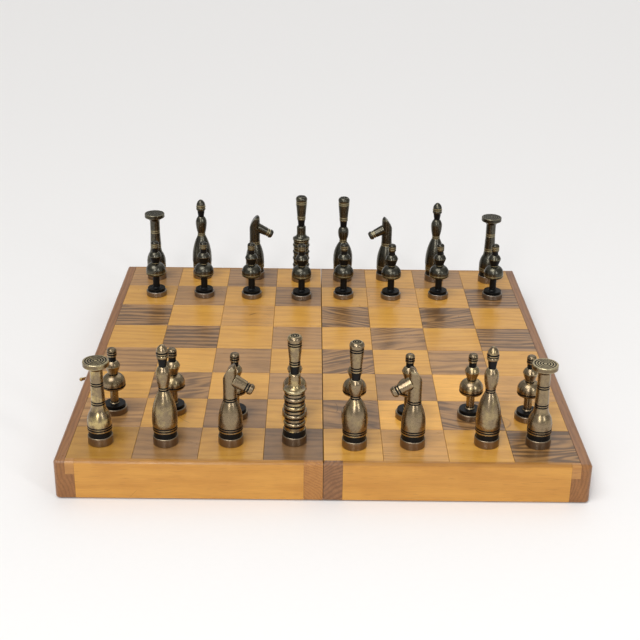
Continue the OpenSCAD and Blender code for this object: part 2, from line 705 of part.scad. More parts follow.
// Rail at the seam: the panel runs over it, and it is cut for the hinges
module seam_rail(side) {
    color(seam_wood) on_side(side) difference() {
        rail_cut([half_gap, -half_l, rim_z], [seam_in_x, half_l, top_z]);
        block([half_gap - 1, -field_y - glue_line, top_z - rebate_d],
              [seam_in_x + 1, field_y + glue_line, top_z + 1]);
        for (y = [-hinge_y, hinge_y]) translate([0, y, 0]) {
            block([0, -hinge_len / 2 - leaf_clear, rim_z - 1],
                  [half_gap + leaf_w + leaf_clear, hinge_len / 2 + leaf_clear, rim_z + leaf_t]);
            translate([0, 0, axis_z]) rotate([90, 0, 0])
                cylinder(r = barrel_r + free_fit, h = hinge_len + 2 * pin_head_t + 4 * free_fit,
                         center = true);
        }
    }
}

module end_rail(side, way) {
    y_out = way * half_l;
    y_in = way * (half_l - end_rail_w);
    y_lip = way * (field_y + glue_line);
    color(end_wood) on_side(side) difference() {
        rail_cut([seam_in_x + glue_line, min(y_out, y_in), rim_z],
                 [outer_in_x - glue_line, max(y_out, y_in), top_z]);
        block([seam_in_x, min(y_lip, y_in - way), top_z - rebate_d],
              [outer_in_x, max(y_lip, y_in - way), top_z + 1]);
    }
}

// Blocks that fill the ends of the outer rail's rebate
module corner_blocks(side) {
    color(block_wood) on_side(side) for (way = [-1, 1]) {
        y_out = way * half_l;
        y_in = way * (field_y + glue_line);
        rail_cut([outer_in_x, min(y_out, y_in), top_z - rebate_d],
                 [field_x, max(y_out, y_in), top_z]);
    }
}

module panel(side) {
    color(ply_wood) on_side(side)
        block([half_gap, -field_y, top_z - rebate_d], [field_x, field_y, top_z - tile_t]);
}

module squares(side, light) {
    color(light ? light_wood : dark_wood) on_side(side)
        for (n = [0 : HALF_FILES - 1], rank = [0 : RANKS - 1])
            if (is_light(side, n, rank) == light)
                translate([column_start(n) + kerf / 2, rank_y(rank) - (square - kerf) / 2,
                           top_z - tile_t])
                    cube([column_w(n) - kerf, square - kerf, tile_t]);
}

// Knuckles: the left leaf has the first and the last, the right leaf has the middle one
function knuckle_y(n) = -hinge_len / 2 + n * (knuckle_len + knuckle_gap);
function has_knuckle(side, n) = (n % 2 == 0) == (side < 0);

module hinge_leaf(side) {
    difference() {
        union() {
            block([half_gap + barrel_r + free_fit, -hinge_len / 2, rim_z],
                  [half_gap + leaf_w, hinge_len / 2, rim_z + leaf_t]);
            for (n = [0 : knuckle_count - 1]) if (has_knuckle(side, n)) {
                block([0, knuckle_y(n), rim_z],
                      [half_gap + leaf_w / 2, knuckle_y(n) + knuckle_len, rim_z + leaf_t]);
                translate([0, knuckle_y(n), axis_z]) rotate([-90, 0, 0])
                    cylinder(r = barrel_r, h = knuckle_len);
            }
        }
        translate([0, 0, axis_z]) rotate([90, 0, 0])
            cylinder(r = hinge_pin_r + pin_fit, h = 2 * hinge_len, center = true);
        for (y = [-screw_spread, screw_spread]) translate([screw_x, y, rim_z])
            countersunk(screw_head_r + pin_fit, screw_r + pin_fit, leaf_t, leaf_t + 1);
    }
}

// Countersunk head of radius r0 that narrows to a shank of radius r1, from its face up
module countersunk(r0, r1, head_h, h) {
    cylinder(r1 = r0, r2 = r1, h = head_h);
    cylinder(r = r1, h = h);
}

module hinge_leaves(side) {
    color(brass) on_side(side) for (y = [-hinge_y, hinge_y]) translate([0, y, 0]) hinge_leaf(side);
}

module hinge_pins() {
    color(steel) for (y = [-hinge_y, hinge_y]) translate([0, y, axis_z]) rotate([90, 0, 0]) {
        cylinder(r = hinge_pin_r, h = hinge_len + 2 * knuckle_gap, center = true);
        for (way = [-1, 1])
            translate([0, 0, way * (hinge_len / 2 + pin_head_t / 2 + knuckle_gap / 2)])
                cylinder(r = pin_head_r, h = pin_head_t, center = true);
    }
}

// Wood screws through a leaf, each with a slot across its head
module hinge_screws(side) {
    color(brass) on_side(side) for (y = [-hinge_y, hinge_y], dy = [-screw_spread, screw_spread])
        translate([screw_x, y + dy, rim_z]) difference() {
            countersunk(screw_head_r, screw_r, leaf_t, screw_len);
            translate([-BIG / 2, -screw_slot_w / 2, -1])
                cube([BIG, screw_slot_w, 1 + screw_slot_depth]);
        }
}

// Outline of the hook, from its eye along -x, with the claw open towards -y
module hook_outline() {
    difference() {
        union() {
            circle(hook_eye_r);
            translate([-claw_reach, -hook_arm_w / 2]) square([claw_reach, hook_arm_w]);
            translate([-claw_reach, 0]) circle(claw_r + claw_wall);
            translate([-tab_root, -tab_w / 2]) square([tab_root - claw_reach, tab_w]);
        }
        circle(latch_shank_r + pin_fit);
        translate([-claw_reach, 0]) circle(claw_r);
        translate([-claw_reach - claw_r, -BIG]) square([2 * claw_r, BIG]);
    }
}

// Swing hook on the left rail: it lies along -Y, and swings down over the stud
module latch_hook() {
    color(brass) translate([-hook_x - hook_t, 0, latch_z]) rotate([-hook_rest_lift, 0, 0]) {
        rotate([90, 0, 90]) linear_extrude(hook_t) hook_outline();
        translate([0, -tab_root, 0]) rotate([0, 0, -tab_lean]) {
            translate([-hook_t, -tab_len, -tab_w / 2]) cube([hook_t, tab_len + hook_t, tab_w]);
            translate([-hook_t / 2, -tab_len, 0]) sphere(tab_ball_r);
        }
    }
}

// Round-headed screw or stud whose head's flat side is head_at from the middle of the board
module latch_fixing(side, head_at) {
    color(brass) on_side(side) translate([0, 0, latch_z]) rotate([0, 90, 0]) {
        translate([0, 0, half_w - latch_shank_in])
            cylinder(r = latch_shank_r, h = head_at - half_w + latch_shank_in + latch_head_t / 2);
        translate([0, 0, head_at]) rotate_extrude()
            polygon(concat([[0, 0], [latch_head_r, 0]],
                swell([latch_head_r, 0], [latch_head_r / 3, latch_head_t]), [[0, latch_head_t]]));
    }
}

for (side = [-1, 1]) {
    outer_rail(side);
    seam_rail(side);
    end_rail(side, -1);
    end_rail(side, 1);
    corner_blocks(side);
    panel(side);
    squares(side, true);
    squares(side, false);
    hinge_leaves(side);
    hinge_screws(side);
}
hinge_pins();
latch_hook();
latch_fixing(-1, head_x);  // latch_screw
latch_fixing(1, stud_head_x);  // latch_stud
for (army = ARMIES, file = FILES) {
    back_piece(army, file);
    pawn(army, file);
}
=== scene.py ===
"""Looks of the folding chess board and its 32 turned metal pieces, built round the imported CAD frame."""
import math
import random

import bpy
import bmesh
from mathutils import Euler, Matrix, Vector


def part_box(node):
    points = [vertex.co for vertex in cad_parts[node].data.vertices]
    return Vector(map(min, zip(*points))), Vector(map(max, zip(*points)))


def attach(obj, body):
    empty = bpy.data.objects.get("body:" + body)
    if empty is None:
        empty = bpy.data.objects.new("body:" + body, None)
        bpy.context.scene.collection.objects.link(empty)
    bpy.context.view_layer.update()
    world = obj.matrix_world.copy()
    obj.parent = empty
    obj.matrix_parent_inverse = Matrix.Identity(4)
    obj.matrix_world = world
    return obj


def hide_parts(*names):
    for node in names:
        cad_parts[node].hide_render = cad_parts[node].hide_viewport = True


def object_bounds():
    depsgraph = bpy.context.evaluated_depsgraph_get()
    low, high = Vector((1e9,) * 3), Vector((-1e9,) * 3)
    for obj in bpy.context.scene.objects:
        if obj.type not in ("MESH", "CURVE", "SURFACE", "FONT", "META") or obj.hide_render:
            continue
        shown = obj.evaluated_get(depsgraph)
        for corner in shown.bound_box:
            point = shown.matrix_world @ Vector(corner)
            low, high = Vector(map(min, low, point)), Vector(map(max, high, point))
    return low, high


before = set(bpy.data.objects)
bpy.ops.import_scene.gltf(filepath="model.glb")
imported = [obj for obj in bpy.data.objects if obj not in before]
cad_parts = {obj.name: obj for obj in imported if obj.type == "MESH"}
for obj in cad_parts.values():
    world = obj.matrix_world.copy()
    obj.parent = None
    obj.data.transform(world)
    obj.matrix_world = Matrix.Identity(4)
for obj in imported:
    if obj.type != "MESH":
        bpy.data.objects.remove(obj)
cad_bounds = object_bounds()

MM = 0.001
HALVES = ("left", "right")
ARMIES = ("light", "dark")
BACK_RANK = ("rook_left", "bishop_left", "knight_left", "king",
             "queen", "knight_right", "bishop_right", "rook_right")
PAWNS = tuple(f"pawn_{n}" for n in range(1, 9))


# ---- Camera, light and floor ----

LENS = 68.4
CAMERA_FROM_FIELD = Vector((-0.0116, -0.9797, 0.4563))
CAMERA_PITCH, CAMERA_YAW, CAMERA_ROLL = math.radians(23.6), math.radians(0.55), math.radians(-0.84)
FLOOR_SIZE = 80.0
FLOOR_GAP = 0.02 * MM
SKY_COLOUR, SKY_STRENGTH = (0.96, 0.98, 1.0, 1), 0.4
WHITE, DAYLIGHT = (1, 1, 1), (0.93, 0.96, 1.0)
# Name, the side it shines from, strength, and spread in degrees
SUNS = (("window", (-0.35, -0.45, 1), 1.45, 38), ("room", (0.25, 0.75, 1), 0.55, 60))
# Name, place, width, height, power and colour
SOFTBOXES = (("key", (-0.3, -1.5, 0.8), 0.22, 0.8, 7, WHITE),
             ("side", (0.9, -1.2, 0.8), 0.16, 0.8, 4, DAYLIGHT))
SOFTBOX_TARGET = Vector((0, 0, 0.05))


def make_camera(field_top):
    data = bpy.data.cameras.new("camera")
    data.lens = LENS
    camera = bpy.data.objects.new("camera", data)
    ahead = Vector((math.sin(CAMERA_YAW) * math.cos(CAMERA_PITCH),
                    math.cos(CAMERA_YAW) * math.cos(CAMERA_PITCH), -math.sin(CAMERA_PITCH)))
    level = Vector((math.cos(CAMERA_YAW), -math.sin(CAMERA_YAW), 0))
    down = ahead.cross(level)
    right = level * math.cos(CAMERA_ROLL) + down * math.sin(CAMERA_ROLL)
    up = level * math.sin(CAMERA_ROLL) - down * math.cos(CAMERA_ROLL)
    turn = Matrix((right, up, -ahead)).transposed()
    camera.matrix_world = Matrix.Translation(CAMERA_FROM_FIELD + Vector((0, 0, field_top))) @ turn.to_4x4()
    bpy.context.scene.collection.objects.link(camera)
    bpy.context.scene.camera = camera


def make_softbox(name, place, width, height, power, colour):
    data = bpy.data.lights.new(name, "AREA")
    data.shape = "RECTANGLE"
    data.size, data.size_y = width, height
    data.energy = power
    data.color = colour
    light = bpy.data.objects.new(name, data)
    light.location = place
    light.rotation_euler = (SOFTBOX_TARGET - Vector(place)).to_track_quat("-Z", "Y").to_euler()
    bpy.context.scene.collection.objects.link(light)


def make_sun(name, towards, strength, spread):
    data = bpy.data.lights.new(name, "SUN")
    data.energy = strength
    data.angle = math.radians(spread)
    light = bpy.data.objects.new(name, data)
    light.rotation_euler = Vector(towards).to_track_quat("Z", "Y").to_euler()
    bpy.context.scene.collection.objects.link(light)


def make_light():
    world = bpy.data.worlds.new("world")
    world.use_nodes = True
    sky = world.node_tree.nodes["Background"]
    sky.inputs["Color"].default_value = SKY_COLOUR
    sky.inputs["Strength"].default_value = SKY_STRENGTH
    bpy.context.scene.world = world
    bpy.context.scene.view_settings.view_transform = "Standard"
    for sun in SUNS:
        make_sun(*sun)
    for softbox in SOFTBOXES:
        make_softbox(*softbox)


# ---- Materials ----

class Graph:
    """The nodes of one procedural material."""

    def __init__(self, name):
        self.material = bpy.data.materials.new(name)
        self.material.use_nodes = True
        self.tree = self.material.node_tree
        self.tree.nodes.clear()

    def node(self, kind, inputs=None, **settings):
        made = self.tree.nodes.new("ShaderNode" + kind)
        for key, value in settings.items():
            setattr(made, key, value)
        for key, value in (inputs or {}).items():
            self.put(made.inputs[key], value)
        return made

    def put(self, socket, value):
        if isinstance(value, bpy.types.NodeSocket):
            self.tree.links.new(value, socket)
        else:
            socket.default_value = value

    def math(self, operation, a, b=0.0, clamp=False):
        return self.node("Math", {0: a, 1: b}, operation=operation, use_clamp=clamp).outputs[0]

    def scaled(self, value, factor, offset):
        return self.node("Math", {0: value, 1: factor, 2: offset}, operation="MULTIPLY_ADD").outputs[0]

    def swing(self, noise, amount, middle=0.0):
        """A noise turned into values that swing about middle."""
        return self.scaled(self.math("SUBTRACT", noise, 0.5), amount, middle)

    def blend(self, share, a, b, mode="MIX"):
        made = self.node("Mix", {0: share, 6: a, 7: b}, data_type="RGBA", blend_type=mode)
        return made.outputs[2]

    def tint(self, colour, factor):
        return self.blend(1.0, colour, factor, "MULTIPLY")

    def shifted(self, vector, offset):
        return self.node("VectorMath", {0: vector, 1: offset}, operation="ADD").outputs[0]

    def between(self, share, a, b):
        return self.node("Mix", {0: share, 2: a, 3: b}, data_type="FLOAT").outputs[0]

    def ramp(self, share, *stops):
        made = self.node("ValToRGB", {"Fac": share})
        elements = made.color_ramp.elements
        while len(elements) < len(stops):
            elements.new(0.5)
        for element, (position, colour) in zip(elements, stops):
            element.position = position
            element.color = colour if len(colour) == 4 else (*colour, 1)
        return made.outputs["Color"]

    def step(self, value, low, high):
        """0 below low, 1 above high, smooth between."""
        made = self.node("MapRange", {"Value": value, "From Min": low, "From Max": high},
                         interpolation_type="SMOOTHSTEP")
        return made.outputs["Result"]

    def noise(self, vector, scale, detail=2.0, roughness=0.5):
        made = self.node("TexNoise", {"Vector": vector, "Scale": scale, "Detail": detail,
                                      "Roughness": roughness})
        return made.outputs["Fac"]

    def attribute(self, name, output="Fac"):
        return self.node("Attribute", attribute_name=name).outputs[output]

    def place(self):
        return self.node("TexCoord").outputs["Object"]

    def split(self, vector):
        return list(self.node("SeparateXYZ", {0: vector}).outputs)

    def join(self, x, y, z):
        return self.node("CombineXYZ", {0: x, 1: y, 2: z}).outputs[0]

    def bump(self, height, depth, strength=1.0):
        made = self.node("Bump", {"Height": height, "Distance": depth, "Strength": strength})
        return made.outputs["Normal"]

    def surface(self, **inputs):
        shader = self.node("BsdfPrincipled", {k.replace("_", " "): v for k, v in inputs.items()})
        out = self.node("OutputMaterial", {"Surface": shader.outputs[0]})
        out.is_active_output = True
        return self.material


# The figure of wood by kind: how far it is drawn out along the grain, then its scale, detail and roughness
WOOD_FIGURE = {"drift": (0.16, 26, 2, 0.5), "ripple": (0.35, 95, 3, 0.5), "streak": (0.06, 210, 4, 0.6),
               "fibre": (0.03, 2300, 2, 0.6), "pits": (0.06, 1300, 1, 0.4)}
DRIFT_TURNS, RIPPLE_TURNS = 6, 0.9
RING_SHARPNESS, STREAK_SHARE, CLOUD_SHARE, FIBRE_SHARE = 1.6, 0.75, 0.55, 0.34
TILE_TONE_BASE = 0.5
WARM_TINT, RIM_DARK_TINT = (1.2, 1.12, 0.62, 1), (0.68, 0.64, 0.56, 1)
SCRATCH_SHARE = 0.6


def wood(name, along, early, late, pore, spacing=3.5, sway=1.2, contrast=0.5, pith=(0.05, -0.03),
         gloss=0.32, varnish=0.3, tiles=False, pores=0.5, rim=None):
    """Solid wood. along is the axis of its grain, early and late are the tones of its rings, spacing is
    the rings' width in mm, sway is how far they wander, and pith is how far off the tree's centre lies.
    Just below rim, a height in metres, the wood is darker and rougher."""
    g = Graph(name)
    spot = g.place()
    strength, wander = contrast, sway
    if tiles:
        spot = g.node("VectorRotate", {"Vector": spot, "Angle": g.attribute("turn")},
                      rotation_type="Z_AXIS").outputs[0]
        spot = g.shifted(spot, g.attribute("seed", "Vector"))
        strength = g.math("MULTIPLY", g.attribute("contrast"), contrast)
        wander = g.math("MULTIPLY", g.attribute("sway"), sway)
    axes = g.split(spot)
    length = axes[along]
    across, upright = [axes[i] for i in range(3) if i != along]

    def figure(kind):
        drawn_out, *fineness = WOOD_FIGURE[kind]
        return g.noise(g.join(g.math("MULTIPLY", length, drawn_out), across, upright), *fineness)

    # Growth rings: rounds about the pith that drift and ripple
    off_a, off_b = g.math("ADD", across, pith[0]), g.math("ADD", upright, pith[1])
    radius = g.math("SQRT", g.math("ADD", g.math("MULTIPLY", off_a, off_a), g.math("MULTIPLY", off_b, off_b)))
    turns = g.math("DIVIDE", radius, spacing * MM)
    turns = g.math("ADD", turns, g.math("MULTIPLY", figure("drift"), g.math("MULTIPLY", wander, DRIFT_TURNS)))
    turns = g.math("ADD", turns, g.math("MULTIPLY", figure("ripple"), RIPPLE_TURNS))
    ring = g.scaled(g.math("SINE", g.math("MULTIPLY", turns, math.tau)), 0.5, 0.5)

    # Colour: rings, streaks and clouds, then fibres, pores and scratches
    streak = g.math("MULTIPLY", g.step(figure("streak"), 0.36, 0.72),
                    g.math("MULTIPLY", strength, STREAK_SHARE))
    cloud = g.noise(spot, 34, 3)
    share = g.math("MULTIPLY", g.math("POWER", ring, RING_SHARPNESS), strength)
    share = g.math("ADD", g.math("ADD", share, streak), g.swing(cloud, CLOUD_SHARE), clamp=True)
    fibre = figure("fibre")
    grain = g.swing(fibre, FIBRE_SHARE, 1.0)
    colour = g.tint(g.blend(share, (*early, 1), (*late, 1)), g.join(grain, grain, grain))
    pits = g.math("MULTIPLY", g.step(figure("pits"), 0.62, 0.72), pores)
    colour = g.blend(pits, colour, (*pore, 1))
    if tiles:
        lift = g.math("ADD", g.attribute("tone"), TILE_TONE_BASE)
        colour = g.tint(colour, g.join(lift, lift, lift))
        colour = g.blend(g.attribute("warm"), colour, g.tint(colour, WARM_TINT))
    hair = g.math("ABSOLUTE", g.math("SUBTRACT", g.noise(g.place(), 14, 0), 0.5))
    scratch = g.math("MULTIPLY", g.math("SUBTRACT", 1.0, g.step(hair, 0.0006, 0.0022)),
                     g.step(g.noise(g.place(), 33, 1), 0.6, 0.66))
    colour = g.blend(g.math("MULTIPLY", scratch, SCRATCH_SHARE), colour, (*pore, 1))

    smear = g.noise(spot, 55, 4, 0.6)
    rough = g.math("ADD", g.swing(smear, 0.22, gloss), g.math("MULTIPLY", pits, 0.25))
    # Just below the rim the wood is made darker and rougher, towards the top edge
    if rim is not None:
        edge = g.math("ADD", g.step(axes[2], rim - 3 * MM, rim - 0.8 * MM), g.math("SUBTRACT", cloud, 0.55),
                      clamp=True)
        near = g.step(axes[2], rim - 4 * MM, rim - 2 * MM)
        colour = g.blend(g.math("MULTIPLY", edge, near), colour, g.tint(colour, RIM_DARK_TINT))
        rough = g.math("ADD", rough, g.math("MULTIPLY", edge, 0.15))
    height = g.math("SUBTRACT", g.math("MULTIPLY", fibre, 0.5), pits)
    height = g.math("SUBTRACT", height, g.math("MULTIPLY", ring, 0.3))
    return g.surface(Base_Color=colour, Roughness=rough, Normal=g.bump(height, 0.06 * MM, 0.55),
                     Coat_Weight=varnish, Coat_Roughness=0.18, Specular_IOR_Level=0.3)


PLY_THICKNESS = 2.4 * MM


def plywood():
    g = Graph("plywood")
    x, y, z = g.split(g.place())
    sheet = g.join(x, g.math("MULTIPLY", y, 0.07), z)
    figure = g.noise(sheet, 60, 4, 0.6)
    fibre = g.noise(sheet, 1500, 2)
    colour = g.ramp(figure, (0.3, (0.6, 0.41, 0.22)), (0.55, (0.5, 0.32, 0.16)), (0.75, (0.37, 0.22, 0.1)))
    ply = g.step(g.math("SINE", g.math("MULTIPLY", z, math.tau / PLY_THICKNESS)), -0.3, 0.3)
    colour = g.blend(g.math("MULTIPLY", ply, 0.25), colour, (0.28, 0.16, 0.08, 1))
    return g.surface(Base_Color=colour, Roughness=g.between(fibre, 0.55, 0.8),
                     Normal=g.bump(fibre, 0.08 * MM, 0.5))


SOOT, SOOT_SHINE, SOOT_ROUGHNESS = (0.003, 0.003, 0.003), 0.1, 0.42
# Three sizes of unevenness in the metal: scale, detail and roughness
PATCH, MOTTLE, SPECK = (150, 4, 0.62), (620, 3, 0.6), (2100, 2, 0.5)


def aged_metal(name, plain, gilt, shadow, bright, foot, line=SOOT, line_shine=SOOT_SHINE, painted_shade=0.0):
    """Cast and turned brass that has darkened with age. plain and gilt are its two tones, shadow its stain,
    bright its rubbed edges and foot the tone of its foot ring. line and line_shine are the tone and metal of
    its thin grooves, and shade is how much painted shade blackens its stems and collars."""
    g = Graph(name)
    spot = g.shifted(g.place(), g.attribute("seed", "Vector"))
    soot, wear, copper, dull, thin = [g.attribute(n) for n in ("soot", "wear", "copper", "dull", "line")]
    # Painted shade: the shade finish blackens stems and collar cones for their shadow and dark reflections
    soot = g.math("MAXIMUM", soot, g.math("MULTIPLY", g.attribute("painted_shade"), painted_shade))
    patch, mottle, speck = [g.noise(spot, *kind) for kind in (PATCH, MOTTLE, SPECK)]
    goldness = g.math("MULTIPLY", g.step(patch, 0.42, 0.66), g.attribute("gilt"))
    colour = g.blend(goldness, (*plain, 1), (*gilt, 1))
    stain = g.math("MULTIPLY", g.step(mottle, 0.48, 0.75), 0.42)
    colour = g.blend(stain, colour, (*shadow, 1))
    colour = g.blend(g.math("MULTIPLY", dull, 0.5), colour, (*shadow, 1))
    rubbed = g.math("MULTIPLY", wear, g.between(patch, 0.1, 0.8))
    colour = g.blend(rubbed, colour, (*bright, 1))
    colour = g.blend(g.math("MULTIPLY", copper, g.between(mottle, 0.65, 1.0)), colour, (*foot, 1))
    painted = g.step(g.math("ADD", soot, g.swing(speck, 0.3)), 0.4, 0.6)
    colour = g.blend(painted, colour, g.blend(thin, (*SOOT, 1), (*line, 1)))
    rough = g.math("ADD", g.between(mottle, 0.14, 0.4), g.math("MULTIPLY", g.step(speck, 0.55, 0.8), 0.12))
    rough = g.between(g.math("MAXIMUM", painted, g.math("MULTIPLY", copper, 0.7)), rough, SOOT_ROUGHNESS)
    metallic = g.between(painted, 1.0, g.between(thin, SOOT_SHINE, line_shine))
    height = g.math("ADD", g.math("MULTIPLY", patch, 1.6), g.math("MULTIPLY", mottle, 0.7))
    height = g.math("ADD", height, g.math("MULTIPLY", speck, 0.12))
    return g.surface(Base_Color=colour, Roughness=rough, Metallic=metallic,
                     Normal=g.bump(height, 0.26 * MM, 0.36), Specular_IOR_Level=0.2)


def fitting_metal(name, tone, stain, gloss):
    g = Graph(name)
    spot = g.place()
    cloud = g.noise(spot, 240, 4, 0.6)
    x, y, z = g.split(spot)
    brushed = g.noise(g.join(x, g.math("MULTIPLY", y, 0.05), z), 3000, 2)
    colour = g.blend(g.step(cloud, 0.4, 0.75), (*tone, 1), (*stain, 1))
    rough = g.math("ADD", g.between(cloud, gloss, gloss + 0.22), g.math("MULTIPLY", brushed, 0.1))
    return g.surface(Base_Color=colour, Roughness=rough, Metallic=1.0,
                     Normal=g.bump(brushed, 0.03 * MM, 0.5))


def floor_material():
    g = Graph("floor")
    grit = g.noise(g.place(), 180, 4)
    colour = g.blend(g.math("MULTIPLY", grit, 0.06), (0.88, 0.857, 0.835, 1), (0.64, 0.62, 0.6, 1))
    return g.surface(Base_Color=colour, Roughness=g.between(grit, 0.55, 0.7),
                     Normal=g.bump(grit, 0.1 * MM, 0.15), Specular_IOR_Level=0.15)


# ---- Meshes ----

def add_object(name, mesh):
    made = bpy.data.objects.new(name, mesh)
    bpy.context.scene.collection.objects.link(made)
    return made


def store(mesh, name, values, kind="FLOAT"):
    """Gives each vertex of the mesh a value that its material reads."""
    layer = mesh.attributes.new(name, kind, "POINT")
    if kind == "FLOAT":
        layer.data.foreach_set("value", values)
    else:
        layer.data.foreach_set("vector", [x for v in values for x in v])


def make_floor():
    mesh = bpy.data.meshes.new("floor")
    reach = FLOOR_SIZE / 2
    corners = [(-reach, -reach, 0), (reach, -reach, 0), (reach, reach, 0), (-reach, reach, 0)]
    mesh.from_pydata(corners, [], [(0, 1, 2, 3)])
    mesh.materials.append(floor_material())
    floor = add_object("floor", mesh)
    floor.location.z = cad_bounds[0][2] - FLOOR_GAP


# The squares. One letter for each, by rank from the light army's and by file from the left:
# l light, b bright, t shaded, o deep shaded, p pale, q pale shaded, m plain, M plain deep shaded, g grey, s
# soft streaks, S strong streaks, w wavy, d slanting, D strongly slanting, F full of figure. t, o, q, M:
# painted shade.
SQUARES = ("oqtMlplF", "slglwbDl", "lwlmlmbp", "slmlDlsl", "lSlmldlS", "SlplDlDl", "lmlglplS", "mlglmlml")
# For each letter: tone, contrast, sway, slant of the grain in degrees, and warmth
FIGURE = {"l": (0.54, 1.0, 0.8, 0, 0.0), "p": (1.0, 0.35, 0.8, 4, 0.9), "m": (0.66, 0.45, 0.6, 2, 0.3),
          "g": (0.46, 0.6, 0.8, 3, 0.1), "s": (0.68, 0.8, 0.8, 0, 0.35), "S": (0.5, 1.3, 0.7, 0, 0.2),
          "w": (0.6, 1.0, 2.2, 14, 0.3), "d": (0.66, 0.9, 1.4, -16, 0.3), "D": (0.58, 1.3, 2.4, -24, 0.3),
          # o, t, q and M lower the tone of the front squares of the left half as painted shade
          "F": (0.46, 1.7, 2.8, 8, 0.4), "o": (0.12, 0.9, 0.8, 0, 0.1), "t": (0.3, 1.0, 0.8, 0, 0.0),
          "b": (0.88, 0.6, 0.8, 2, 0.0), "q": (0.4, 0.4, 0.8, 4, 0.3), "M": (0.15, 0.5, 0.6, 2, 0.0)}
TRAITS = ("tone", "contrast", "sway", "turn", "warm")
TILE_EDGE, EDGE_EASE = 0.22 * MM, 0.3
TONE_SPREAD, TURN_SPREAD = 0.07, 4
FLIPPED_SHARE = 0.35
SAME_PLACE = 0.01 * MM


def tile_boxes(node):
    """The box of each loose tile in a CAD node, as lowest and highest corners."""
    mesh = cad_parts[node].data
    shape = bmesh.new()
    shape.from_mesh(mesh)
    bmesh.ops.remove_doubles(shape, verts=shape.verts, dist=SAME_PLACE)
    left = set(shape.verts)
    boxes = []
    while left:
        front = [left.pop()]
        tile = list(front)
        while front:
            for edge in front.pop().link_edges:
                for vert in edge.verts:
                    if vert in left:
                        left.remove(vert)
                        front.append(vert)
                        tile.append(vert)
        low = [min(v.co[i] for v in tile) for i in range(3)]
        high = [max(v.co[i] for v in tile) for i in range(3)]
        boxes.append((low, high))
    shape.free()
    return sorted(boxes)


def make_squares(side, kind, material, field):
    """One inlay of loose tiles with eased edges, each cut from its own piece of wood."""
    node = f"{side}_{kind}_squares"
    pick = random.Random(node)
    verts, faces, traits = [], [], []
    for low, high in tile_boxes(node):
        middle_x, middle_y = (low[0] + high[0]) / 2, (low[1] + high[1]) / 2
        rank = int((middle_y - field["low_y"]) / field["rank"])
        file = field["files"].index(min(field["files"], key=lambda x: abs(x - middle_x)))
        tone, contrast, sway, slant, warm = FIGURE[SQUARES[rank][file]]
        flip = -1 if pick.random() < FLIPPED_SHARE else 1
        trait = {"tone": tone + pick.uniform(-TONE_SPREAD, TONE_SPREAD), "contrast": contrast, "sway": sway,
                 "turn": math.radians(flip * slant + pick.uniform(-TURN_SPREAD, TURN_SPREAD)), "warm": warm,
                 "seed": (pick.uniform(2, 9), pick.uniform(-0.02, 0.09), pick.uniform(0, 0.04))}
        start = len(verts)
        eased_part = TILE_EDGE * EDGE_EASE
        levels = ((low[2], 0), (high[2] - TILE_EDGE, 0), (high[2] - eased_part, eased_part),
                  (high[2], TILE_EDGE))
        for z, inset in levels:
            verts += [(low[0] + inset, low[1] + inset, z), (high[0] - inset, low[1] + inset, z),
                      (high[0] - inset, high[1] - inset, z), (low[0] + inset, high[1] - inset, z)]
        faces.append([start + i for i in (3, 2, 1, 0)])
        last = start + 4 * (len(levels) - 1)
        faces.append([last + i for i in range(4)])
        for level in range(len(levels) - 1):
            base = start + 4 * level
            faces += [(base + i, base + (i + 1) % 4, base + 4 + (i + 1) % 4, base + 4 + i) for i in range(4)]
        traits += [trait] * (4 * len(levels))
    mesh = bpy.data.meshes.new(node + "_inlay")
    mesh.from_pydata(verts, [], faces)
    for name in TRAITS:
        store(mesh, name, [t[name] for t in traits])
    store(mesh, "seed", [t["seed"] for t in traits], "FLOAT_VECTOR")
    mesh.materials.append(material)
    piece = add_object(node + "_inlay", mesh)
    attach(piece, f"{side}_half")
    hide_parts(node)


# ---- Turned pieces ----

# The outlines and the sizes that they use are in mm. Shape.mesh turns them to metres.
SEGMENTS = 64
# Corners sharper than SHARP_TURN are rounded by CORNER, and a point at HOLD keeps the wall beside them flat
CORNER, HOLD, SHARP_TURN = 0.16, 0.55, math.radians(22)
TINY = 1e-6
GROOVE_WIDTH, GROOVE_DEPTH, TOP_GROOVE = 0.75, 0.6, 0.95
BEAD = 1.12
# LIP is a step between two finishes, and PAINT is how far a groove's paint spreads onto the wall beside it
LIP, PAINT = 0.02, 0.2
# Finishes: LINE is black on the light army and bare brass on the dark one, and PAINTED_SHADE is painted
# shade, black on the dark one
METAL, BLACK, COPPER, DULL, LINE, RUBBED, PAINTED_SHADE = range(7)
RUB = 0.75


